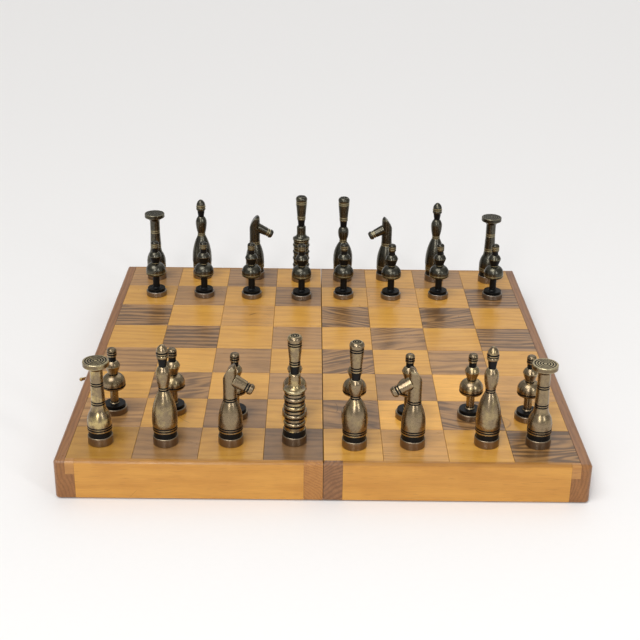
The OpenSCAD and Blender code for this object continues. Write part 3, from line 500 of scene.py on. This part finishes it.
class Turning:
    """The outline of a turned part in mm, from the bottom up: radius, height and finish of each point."""

    def __init__(self, radius=0.0, height=0.0, finish=METAL):
        self.points = [(radius, height, finish)]

    @property
    def radius(self):
        return self.points[-1][0]

    @property
    def height(self):
        return self.points[-1][1]

    def to(self, radius, height, finish=METAL):
        self.points.append((radius, height, finish))
        return self

    def up(self, rise, finish=METAL):
        return self.to(self.radius, self.height + rise, finish)

    def bow(self, radius, height, sag, steps=12, finish=METAL):
        """A round stretch whose middle stands out by sag."""
        r0, z0 = self.radius, self.height
        chord = math.hypot(radius - r0, height - z0)
        along = ((radius - r0) / chord, (height - z0) / chord)
        out = (along[1] * math.copysign(1, sag), -along[0] * math.copysign(1, sag))
        curve = (chord * chord / 4 + sag * sag) / (2 * abs(sag))
        half = 2 * math.atan(2 * abs(sag) / chord)
        for i in range(1, steps + 1):
            t = half * (2 * i / steps - 1)
            forward, side = curve * math.sin(t), curve * (math.cos(t) - math.cos(half))
            self.to((r0 + radius) / 2 + along[0] * forward + out[0] * side,
                    (z0 + height) / 2 + along[1] * forward + out[1] * side, finish)
        return self

    def swell(self, radius, height, steps=14, finish=METAL):
        """A round stretch that leaves the wall straight upwards."""
        r0, z0 = self.radius, self.height
        inwards, rise = r0 - radius, height - z0
        curve = (inwards * inwards + rise * rise) / (2 * inwards)
        end = math.asin(min(1, rise / curve))
        for i in range(1, steps + 1):
            t = end * i / steps
            self.to(r0 - curve + curve * math.cos(t), z0 + curve * math.sin(t), finish)
        return self

    def groove(self):
        rim = self.radius
        self.up(LIP, LINE).up(PAINT, LINE).to(rim - GROOVE_DEPTH, self.height + LIP, LINE)
        self.up(GROOVE_WIDTH - 4 * LIP, LINE).to(rim, self.height + LIP, LINE)
        return self.up(PAINT, LINE).up(LIP)

    def gap(self, radius, top):
        """A painted step in to radius, up to top."""
        return self.up(LIP, LINE).to(radius, self.height + LIP, LINE).to(radius, top, LINE)

    def double_ring(self):
        return self.groove().up(BEAD - 2 * PAINT).groove()

    def band(self, radius, top, finish=METAL, bevel=0.35):
        """A plain wall with eased edges."""
        self.to(radius - bevel, self.height, finish).to(radius, self.height + bevel, finish)
        return self.to(radius, top - bevel, finish).to(radius - bevel, top, finish)

    def top_rings(self, *radii):
        """Black ring grooves in a flat top, from the outside in, with rubbed lands between them."""
        self.to(self.radius - LIP, self.height, RUBBED)
        for radius in radii:
            z = self.height
            inner = radius - TOP_GROOVE
            self.to(radius + LIP, z, RUBBED).to(radius, z, BLACK)
            self.to(radius - LIP, z - GROOVE_DEPTH, BLACK).to(inner, z - GROOVE_DEPTH, BLACK)
            self.to(inner - LIP, z, BLACK).to(inner - 2 * LIP, z, RUBBED)
        return self.to(0, self.height, RUBBED)


FOOT_RADIUS, FOOT_HEIGHT, FOOT_IN = 9.5, 6.8, 1.6
WAIST_RADIUS, WAIST_TOP = 8.7, 11.4
BEAD_RADIUS = 9.3
SKIRT_RADIUS, SKIRT_TOP, SKIRT_SAG = 9.6, 3.9, 0.2
CHEST_SAG = 0.4
CROWN_NECK = 3.5


def waisted_foot():
    return (Turning().to(FOOT_RADIUS - FOOT_IN, 0, COPPER).band(FOOT_RADIUS, FOOT_HEIGHT, COPPER)
            .to(WAIST_RADIUS, FOOT_HEIGHT + LIP, BLACK).to(WAIST_RADIUS, WAIST_TOP - LIP, BLACK))


def beaded_foot():
    return waisted_foot().to(BEAD_RADIUS, WAIST_TOP).up(BEAD).groove().up(BEAD - 2 * PAINT).groove()


def crown(turning, neck_bottom):
    """The blackened neck and the long flared head of a king or queen."""
    neck, neck_flare, neck_height = 3.1, 0.6, 6.4
    low, ease, low_wall = 4.2, 0.4, 0.8
    wide, ring_in, top, top_rise, rings_below_top = 5.65, 0.3, 3.95, 3, 5.0
    crown_height, outer_ring_in, inner_ring_in = 24.1, 0.7, 2.1
    base = neck_bottom + neck_height
    end = base + crown_height
    turning.to(neck, neck_bottom, BLACK).to(neck + neck_flare, base, BLACK)
    turning.to(low - ease, base).to(low, base + ease).up(low_wall).double_ring()
    turning.to(wide - ring_in, end - rings_below_top - 2 * GROOVE_WIDTH - BEAD).double_ring()
    turning.to(wide, end - top_rise).swell(top, end)
    return turning.top_rings(top - outer_ring_in, top - inner_ring_in)


def king():
    """Four ribs, each a swelling and a ring between gaps, then a lip, a waist and the crown."""
    valley, gap, pitch, ring = 6.9, 0.95, 7.0, 1.8
    rib, rib_wall, rib_bulge, ring_radius = 7.5, 0.2, 0.9, 7.7
    foot_band, foot_band_height = 7.8, 2.6
    lip_radius, ease, lip_low, lip_high = 8.4, 0.4, 1.4, 2.9
    waist, waist_sag, waist_low, waist_top, neck_bottom = 4.5, -1.1, 8.4, 14.1, 15.7
    turning = waisted_foot().to(foot_band, WAIST_TOP).up(foot_band_height)
    for _ in range(4):
        start = turning.height
        ring_low = start + pitch - ring
        turning.gap(valley, start + gap).to(rib, start + gap + LIP, LINE).up(rib_wall)
        turning.bow(rib, ring_low - gap - rib_wall, rib_bulge)
        turning.gap(valley, ring_low).to(ring_radius, ring_low + LIP, LINE).up(LIP)
        turning.to(ring_radius, start + pitch)
    base = turning.height
    turning.gap(valley, base + gap).to(lip_radius - ease, base + gap + LIP, LINE)
    turning.to(lip_radius, base + lip_low).to(lip_radius, base + lip_high)
    turning.to(lip_radius - ease, base + lip_high + ease)
    turning.bow(waist, base + waist_low, waist_sag).to(waist, base + waist_top)
    turning.swell(CROWN_NECK, base + neck_bottom)
    return crown(turning, base + neck_bottom)


def queen():
    skirt_low, skirt_height = 8, 24.7
    chest, chest_height, torso_height = 5.3, 7.9, 12.7
    turning = beaded_foot()
    base = turning.height
    turning.bow(SKIRT_RADIUS, base + skirt_low, SKIRT_SAG)
    turning.swell(SKIRT_TOP, base + skirt_height, 22).double_ring()
    torso = turning.height
    turning.bow(chest, torso + chest_height, CHEST_SAG).swell(CROWN_NECK, torso + torso_height)
    return crown(turning, torso + torso_height)


def bishop():
    skirt_low, skirt_height = 5, 29
    chest, chest_height, chest_top, torso_height = 5.45, 11.4, 3.2, 16.6
    neck, neck_top, neck_height = 2.8, 3.7, 6.8
    cap_low, cap, cap_groove, cap_bead, tip, tip_sag = 4.1, 4.35, 3.75, 4.65, 0.5, 0.9
    rim_height, low_groove_top, high_groove_top, cap_height = 2.4, 3.2, 5.1, 10.8
    turning = beaded_foot()
    base = turning.height
    turning.bow(SKIRT_RADIUS, base + skirt_low, SKIRT_SAG)
    turning.swell(SKIRT_TOP, base + skirt_height, 24).double_ring()
    torso = turning.height
    neck_bottom = torso + torso_height
    turning.bow(chest, torso + chest_height, CHEST_SAG).bow(chest_top, neck_bottom, CHEST_SAG)
    start = neck_bottom + neck_height
    turning.to(neck, neck_bottom, BLACK).to(neck_top, start, BLACK).to(cap_low, start)
    turning.bow(cap, start + rim_height, CHEST_SAG).gap(cap_groove, start + low_groove_top)
    turning.to(cap_bead, start + low_groove_top + LIP, LINE).up(PAINT, LINE).up(LIP).up(BEAD - 2 * PAINT)
    turning.gap(cap_groove, start + high_groove_top)
    turning.to(cap, start + high_groove_top + LIP, LINE).up(PAINT, LINE).up(LIP)
    return turning.bow(tip, start + cap_height, tip_sag).to(0, start + cap_height)


def rook():
    skirt_low, skirt_middle, skirt_height = 3, 11.7, 17.1
    ring, ring_flare, column, column_height, head, head_height = 5.3, 1.1, 4.75, 12.4, 5.15, 9.9
    disc_low, disc, disc_height, disc_rise, disc_rings = 9.0, 9.8, 4, 3.2, (8.2, 6.25, 4.3, 2.35)
    turning = beaded_foot()
    base = turning.height
    turning.to(BEAD_RADIUS, base + skirt_low).bow(ring + ring_flare, base + skirt_middle, 0.6)
    turning.bow(ring, base + skirt_height, -0.2).double_ring()
    turning.to(column, turning.height + column_height).double_ring()
    turning.up(head_height).to(head, turning.height)
    disc_bottom = turning.height + disc_rise
    turning.bow(disc_low, disc_bottom, -0.4, finish=DULL).band(disc, disc_bottom + disc_height, DULL)
    return turning.top_rings(*disc_rings)


def pawn():
    foot, foot_height, step, step_top, stem = 9.8, 5, 6.3, 7.6, 3.25
    dome_low, dome_bottom, dome, rim, dome_top = 7.95, 21.2, 9.4, 9.35, 33
    collar_bottom, collar, collar_middle, collar_top = 33.7, 6, 40.3, 44.4
    knob, knob_bottom, tip, top = 3.7, 48.5, 0.8, 55.2
    turning = Turning().to(foot - FOOT_IN, 0, COPPER).band(foot, foot_height, COPPER)
    turning.to(foot - 2.2, foot_height + LIP, BLACK).up(1.26, BLACK)
    turning.to(foot - 1.4, step, BLACK).up(1.3, BLACK)
    # The stem and the collar's lower cone take the PAINTED_SHADE finish: painted shade on the dark army
    turning.to(stem + 1, step_top, BLACK).to(stem, 8.7, PAINTED_SHADE).to(stem, dome_bottom, PAINTED_SHADE)
    turning.to(dome_low, dome_bottom).bow(dome, 23.2, 0.4, 6).gap(8.5, 23.98)
    turning.to(rim, 24, LINE).up(0.35, LINE).up(LIP).up(1.4).swell(4, dome_top, 20)
    turning.to(3.4, dome_top + LIP, LINE).up(0.66, LINE).to(4, collar_bottom, PAINTED_SHADE).to(4.2, 35.1, PAINTED_SHADE)
    turning.to(collar - 0.1, 39.9, PAINTED_SHADE).to(collar, collar_middle).bow(3.4, collar_top, 0.4)
    turning.to(3, collar_top + LIP, BLACK).up(4.06, BLACK).to(knob, knob_bottom, DULL).up(1.3, DULL)
    return turning.double_ring().swell(tip, top, finish=DULL).to(0, top, DULL)


KNIGHT_NECK, KNIGHT_TIP = 5.15, 65.8
MANE_RADIUS, MANE_DROP, MANE_OUT = 21.6, 17.4, 0.5
NOSE_HEIGHT, NOSE_IN = 4.0, 1.5
TOP_BLEND = 0.5
MUZZLE_DROOP, MUZZLE_DROP, MUZZLE_ROOT, MUZZLE_REACH = math.radians(27), 11.2, 3.55, 20
MUZZLE_RADIUS, MUZZLE_PIN = 4.7, 2.5
POCKET_RADIUS, POCKET_DEPTH = 5.0, 12
NECK_LEVELS, NECK_EDGE = 16, 0.2
# The rings across the neck's top: how far in each one lies, how far it dips, and its wear
NECK_RINGS = ((0.06, 0.07, 0.7), (0.2, 0, 0.7), *((inset, 0, 0) for inset in (0.5, 1.0, 1.8, 2.6, 3.4, 4.2)))
SHARP_EDGE = math.radians(38)


def knight_body():
    turning = beaded_foot()
    base = turning.height
    turning.to(BEAD_RADIUS, base + 2).swell(5.3, base + 20.5, 20).double_ring()
    return turning.to(KNIGHT_NECK, turning.height)


def muzzle():
    end = MUZZLE_REACH - MUZZLE_ROOT
    pin_bottom, face = -1.8, 0.05
    ring, ring_back, knob, knob_back, knob_sag, tip = 4.05, 6.6, 4.1, 2, 0.35, 2.2
    turning = Turning(0, pin_bottom).to(MUZZLE_PIN, pin_bottom).to(MUZZLE_PIN, face).to(MUZZLE_RADIUS, face)
    turning.to(ring, end - ring_back).double_ring()
    return turning.bow(knob, end - knob_back, knob_sag, 8).swell(tip, end).to(0, end)


def eased(points):
    """The outline with each corner rounded, as radius, height, finish and wear of each point."""
    made = [(*points[0], 0.0)]
    for before, here, after in zip(points, points[1:], points[2:]):
        come = Vector((here[0] - before[0], here[1] - before[1]))
        go = Vector((after[0] - here[0], after[1] - here[1]))
        if come.length < TINY or go.length < TINY:
            continue
        cross = come.x * go.y - come.y * go.x
        angle = math.atan2(cross, come.dot(go))
        if abs(angle) < SHARP_TURN:
            made.append((*here, 0.0))
            continue
        corner = Vector(here[:2])
        worn = 1.0 if angle > 0 and here[2] not in (BLACK, LINE) else 0.0
        back = min(CORNER, come.length * 0.3)
        ahead = min(CORNER, go.length * 0.3)
        start, end = corner - come.normalized() * back, corner + go.normalized() * ahead
        if come.length > 2.5 * HOLD:
            far = corner - come.normalized() * HOLD
            made.append((far.x, far.y, here[2], 0.0))
        for t in (0.0, 0.33, 0.67, 1.0):
            spot = start * (1 - t) ** 2 + corner * 2 * t * (1 - t) + end * t ** 2
            made.append((spot.x, spot.y, here[2], worn))
        if go.length > 2.5 * HOLD:
            far = corner + go.normalized() * HOLD
            made.append((far.x, far.y, here[2], 0.0))
    made.append((*points[-1], 0.0))
    return made


def circle(radius, count=SEGMENTS):
    return [(radius * math.cos(math.tau * i / count), radius * math.sin(math.tau * i / count))
            for i in range(count)]


class Shape:
    """A mesh in the making, with the traits of each vertex."""

    def __init__(self):
        self.verts, self.faces, self.finish, self.wear = [], [], [], []

    def ring(self, spots, finish, wear):
        start = len(self.verts)
        self.verts += spots
        self.finish += [finish] * len(spots)
        self.wear += [wear] * len(spots)
        return range(start, start + len(spots))

    def bridge(self, low, high):
        if len(low) == len(high) == 1:
            return
        count = max(len(low), len(high))
        for i in range(count):
            j = (i + 1) % count
            corners = [low[i % len(low)], low[j % len(low)], high[j % len(high)], high[i % len(high)]]
            self.faces.append(list(dict.fromkeys(corners)))

    def lathe(self, outline):
        """Adds a turned part and returns its last ring."""
        last = None
        for radius, height, finish, wear in eased(outline):
            count = SEGMENTS if radius > TINY else 1
            ring = self.ring([(x, y, height) for x, y in circle(radius, count)], finish, wear)
            if last is not None:
                self.bridge(last, ring)
            last = ring
        return last

    def mesh(self, name):
        made = bpy.data.meshes.new(name)
        made.from_pydata([(x * MM, y * MM, z * MM) for x, y, z in self.verts], [], self.faces)
        store(made, "soot", [1.0 if f in (BLACK, LINE) else 0.0 for f in self.finish])
        for trait, finish in (("line", LINE), ("copper", COPPER), ("dull", DULL), ("painted_shade", PAINTED_SHADE)):
            store(made, trait, [1.0 if f == finish else 0.0 for f in self.finish])
        store(made, "wear", [RUB if f == RUBBED else w for f, w in zip(self.finish, self.wear)])
        made.polygons.foreach_set("use_smooth", [True] * len(made.polygons))
        return made


def soft_min(a, b, width):
    t = max(width - abs(a - b), 0) / width
    return min(a, b) - t * t * width / 4


def knight_top(x, y):
    """Height of the neck's top: the curved cut of the mane, or the rounded tip where that is lower."""
    mane_x = MANE_RADIUS - KNIGHT_NECK - MANE_OUT
    mane = KNIGHT_TIP - MANE_DROP + math.sqrt(max(MANE_RADIUS ** 2 - (x - mane_x) ** 2, 0))
    curve = (NOSE_IN ** 2 + NOSE_HEIGHT ** 2) / (2 * NOSE_IN)
    out = min(math.hypot(x, y), KNIGHT_NECK) - (KNIGHT_NECK - curve)
    nose = KNIGHT_TIP - NOSE_HEIGHT + math.sqrt(max(curve ** 2 - max(out, 0) ** 2, 0))
    return soft_min(mane, min(nose, KNIGHT_TIP), TOP_BLEND)


def knight_blank():
    """The turned body, with a neck that ends in the mane's curved cut."""
    shape = Shape()
    last = shape.lathe(knight_body().points)
    low = shape.verts[last[0]][2]
    wall = circle(KNIGHT_NECK)
    rims = [knight_top(x, y) for x, y in wall]
    for level in range(1, NECK_LEVELS + 1):
        share = level / NECK_LEVELS
        ring = shape.ring([(x, y, low + (rim - NECK_EDGE - low) * share) for (x, y), rim in zip(wall, rims)],
                          METAL, 0.0)
        shape.bridge(last, ring)
        last = ring
    for inset, dip, wear in NECK_RINGS:
        spots = [(x, y, knight_top(x, y) - dip) for x, y in circle(KNIGHT_NECK - inset)]
        ring = shape.ring(spots, METAL, wear)
        shape.bridge(last, ring)
        last = ring
    shape.bridge(last, shape.ring([(0, 0, knight_top(0, 0))], METAL, 0))
    return shape


def carve(shape, tool, place):
    """The mesh of shape with tool, moved to place, cut out of it."""
    body = add_object("knight_blank", shape.mesh("knight_blank"))
    cutter = add_object("knight_cutter", tool.mesh("knight_cutter"))
    cutter.matrix_world = place
    cut = body.modifiers.new("pocket", "BOOLEAN")
    cut.operation, cut.object, cut.solver = "DIFFERENCE", cutter, "EXACT"
    bpy.context.view_layer.update()
    carved = bpy.data.meshes.new_from_object(body.evaluated_get(bpy.context.evaluated_depsgraph_get()))
    for spent in (body, cutter):
        bpy.data.objects.remove(spent)
    return carved


def knight_mesh():
    """The carved body with its muzzle, which is turned apart and set into a round pocket."""
    aim = (Matrix.Translation((0, 0, (KNIGHT_TIP - MUZZLE_DROP) * MM))
           @ Euler((0, math.pi / 2 + MUZZLE_DROOP, 0)).to_matrix().to_4x4()
           @ Matrix.Translation((0, 0, MUZZLE_ROOT * MM)))
    pocket, nose = Shape(), Shape()
    hollow = Turning(0, 0).to(POCKET_RADIUS, 0).to(POCKET_RADIUS, POCKET_DEPTH).to(0, POCKET_DEPTH)
    pocket.lathe(hollow.points)
    nose.lathe(muzzle().points)
    carved = carve(knight_blank(), pocket, aim)
    nose_mesh = nose.mesh("muzzle")
    nose_mesh.transform(aim)
    joined = bmesh.new()
    joined.from_mesh(carved)
    joined.from_mesh(nose_mesh)
    for edge in joined.edges:
        if len(edge.link_faces) == 2 and edge.calc_face_angle() > SHARP_EDGE:
            edge.smooth = False
    joined.to_mesh(carved)
    joined.free()
    carved.polygons.foreach_set("use_smooth", [True] * len(carved.polygons))
    return carved


TURNINGS = {"king": king, "queen": queen, "bishop": bishop, "rook": rook, "pawn": pawn}
# How much of each piece has kept its golden tone
GILT = {"rook_left": 1.0, "bishop_left": 0.45, "knight_left": 0.1, "king": 0.6, "queen": 0.3,
        "knight_right": 0.15, "bishop_right": 0.35, "rook_right": 0.2}
PAWN_GILT = (0.1, 0.6)
SEED_REACH = 5


def standing_place(node):
    """Where a CAD piece's foot stands, and which way the piece looks, from its mesh."""
    spots = [v.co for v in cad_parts[node].data.vertices]
    floor = min(v.z for v in spots)
    foot = [v for v in spots if v.z < floor + MM]
    centre = Vector([(min(v[i] for v in foot) + max(v[i] for v in foot)) / 2 for i in (0, 1)] + [floor])
    far = max(spots, key=lambda v: (v.xy - centre.xy).length)
    reach = far.xy - centre.xy
    tip = [v for v in spots if (v.xy - centre.xy).dot(reach.normalized()) > reach.length - MM]
    middle = Vector((sum(v.x for v in tip), sum(v.y for v in tip))) / len(tip)
    return centre, math.atan2(middle.y - centre.y, middle.x - centre.x)


def make_piece(army, name, kind, mesh, material):
    node = f"{army}_{name}"
    pick = random.Random(node)
    own = mesh.copy()
    own.name = node + "_turned"
    count = len(own.vertices)
    seed = [pick.uniform(0, SEED_REACH) for _ in range(3)]
    store(own, "seed", [seed] * count, "FLOAT_VECTOR")
    store(own, "gilt", [GILT.get(name, pick.uniform(*PAWN_GILT))] * count)
    own.materials.clear()
    own.materials.append(material)
    piece = add_object(own.name, own)
    centre, heading = standing_place(node)
    spin = heading if kind == "knight" else pick.uniform(0, math.tau)
    piece.matrix_world = Matrix.Translation(centre) @ Matrix.Rotation(spin, 4, "Z")
    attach(piece, node)
    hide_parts(node)


def make_armies():
    meshes = {}
    for kind, turning in TURNINGS.items():
        shape = Shape()
        shape.lathe(turning().points)
        meshes[kind] = shape.mesh(kind)
    meshes["knight"] = knight_mesh()
    materials = {
        "light": aged_metal("light_metal", plain=(0.265, 0.197, 0.12), gilt=(0.55, 0.42, 0.19),
                            shadow=(0.115, 0.088, 0.058), bright=(0.74, 0.64, 0.38),
                            foot=(0.225, 0.168, 0.12)),
        # The dark army's stems and collars get full painted shade
        "dark": aged_metal("dark_metal", plain=(0.085, 0.079, 0.062), gilt=(0.15, 0.137, 0.092),
                           shadow=(0.03, 0.027, 0.021), bright=(0.36, 0.32, 0.21),
                           foot=(0.29, 0.24, 0.195), line=(0.4, 0.345, 0.21), line_shine=1.0, painted_shade=1.0),
    }
    for army in ARMIES:
        for name in BACK_RANK + PAWNS:
            kind = name.split("_")[0]
            make_piece(army, name, kind, meshes[kind], materials[army])


# ---- The board ----

def paint(node, material):
    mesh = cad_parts[node].data
    mesh.materials.clear()
    mesh.materials.append(material)


GRAIN_X, GRAIN_Y = 0, 1


def rail_and_block_woods():
    """The material of each rail and corner block, by the name of its CAD node."""
    side = wood("side_wood", GRAIN_Y, (0.29, 0.122, 0.036), (0.2, 0.08, 0.022), (0.11, 0.042, 0.013),
                spacing=3, contrast=0.6)
    seam_left = wood("seam_wood_left", GRAIN_Y, (0.42, 0.185, 0.045), (0.31, 0.125, 0.028),
                     (0.15, 0.055, 0.015), spacing=2.2, contrast=0.6, pith=(0.03, 0.02))
    seam_right = wood("seam_wood_right", GRAIN_Y, (0.27, 0.125, 0.05), (0.17, 0.075, 0.03),
                      (0.08, 0.034, 0.015), spacing=2.4, contrast=0.8, pith=(-0.04, 0.03))
    end = wood("end_wood", GRAIN_X, (0.575, 0.275, 0.05), (0.47, 0.205, 0.034), (0.28, 0.115, 0.022),
               spacing=7, contrast=0.5, pores=0.35, sway=0.8, rim=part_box("left_front_rail")[1].z)
    block = wood("block_wood", GRAIN_X, (0.45, 0.215, 0.06), (0.34, 0.145, 0.036), (0.18, 0.07, 0.02),
                 spacing=2)
    woods = {"left_seam_rail": seam_left, "right_seam_rail": seam_right}
    for half in HALVES:
        woods.update({f"{half}_outer_rail": side, f"{half}_front_rail": end, f"{half}_rear_rail": end,
                      f"{half}_corner_blocks": block})
    return woods


def square_woods():
    light = wood("light_wood", GRAIN_X, (0.63, 0.32, 0.055), (0.44, 0.19, 0.028), (0.24, 0.1, 0.018),
                 spacing=10, contrast=0.36, tiles=True, pores=0.25)
    dark = wood("dark_wood", GRAIN_X, (0.35, 0.186, 0.075), (0.125, 0.064, 0.028), (0.05, 0.026, 0.013),
                spacing=8, contrast=0.68, tiles=True, pores=0.35)
    return {"light": light, "dark": dark}


def playing_field():
    """Where the ranks and files lie, from the CAD panel and tiles."""
    low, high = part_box("left_panel")
    files = sorted({round((start[0] + end[0]) / 2, 4) for half in HALVES for tone in ARMIES
                    for start, end in tile_boxes(f"{half}_{tone}_squares")})
    return {"low_y": low[1], "rank": (high[1] - low[1]) / len(SQUARES), "files": files}


def make_board():
    squares, ply, field = square_woods(), plywood(), playing_field()
    for node, material in rail_and_block_woods().items():
        paint(node, material)
    for half in HALVES:
        paint(f"{half}_panel", ply)
        for tone in ARMIES:
            make_squares(half, tone, squares[tone], field)


def make_fittings():
    brass = fitting_metal("fitting_brass", (0.6, 0.42, 0.17), (0.32, 0.2, 0.08), 0.26)
    steel = fitting_metal("pin_steel", (0.5, 0.5, 0.5), (0.25, 0.22, 0.2), 0.3)
    for node in ("left_hinge_leaves", "right_hinge_leaves", "left_hinge_screws", "right_hinge_screws",
                 "latch_hook", "latch_screw", "latch_stud"):
        paint(node, brass)
    paint("hinge_pins", steel)


make_camera(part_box("left_light_squares")[1].z)
make_light()
make_floor()
make_board()
make_fittings()
make_armies()
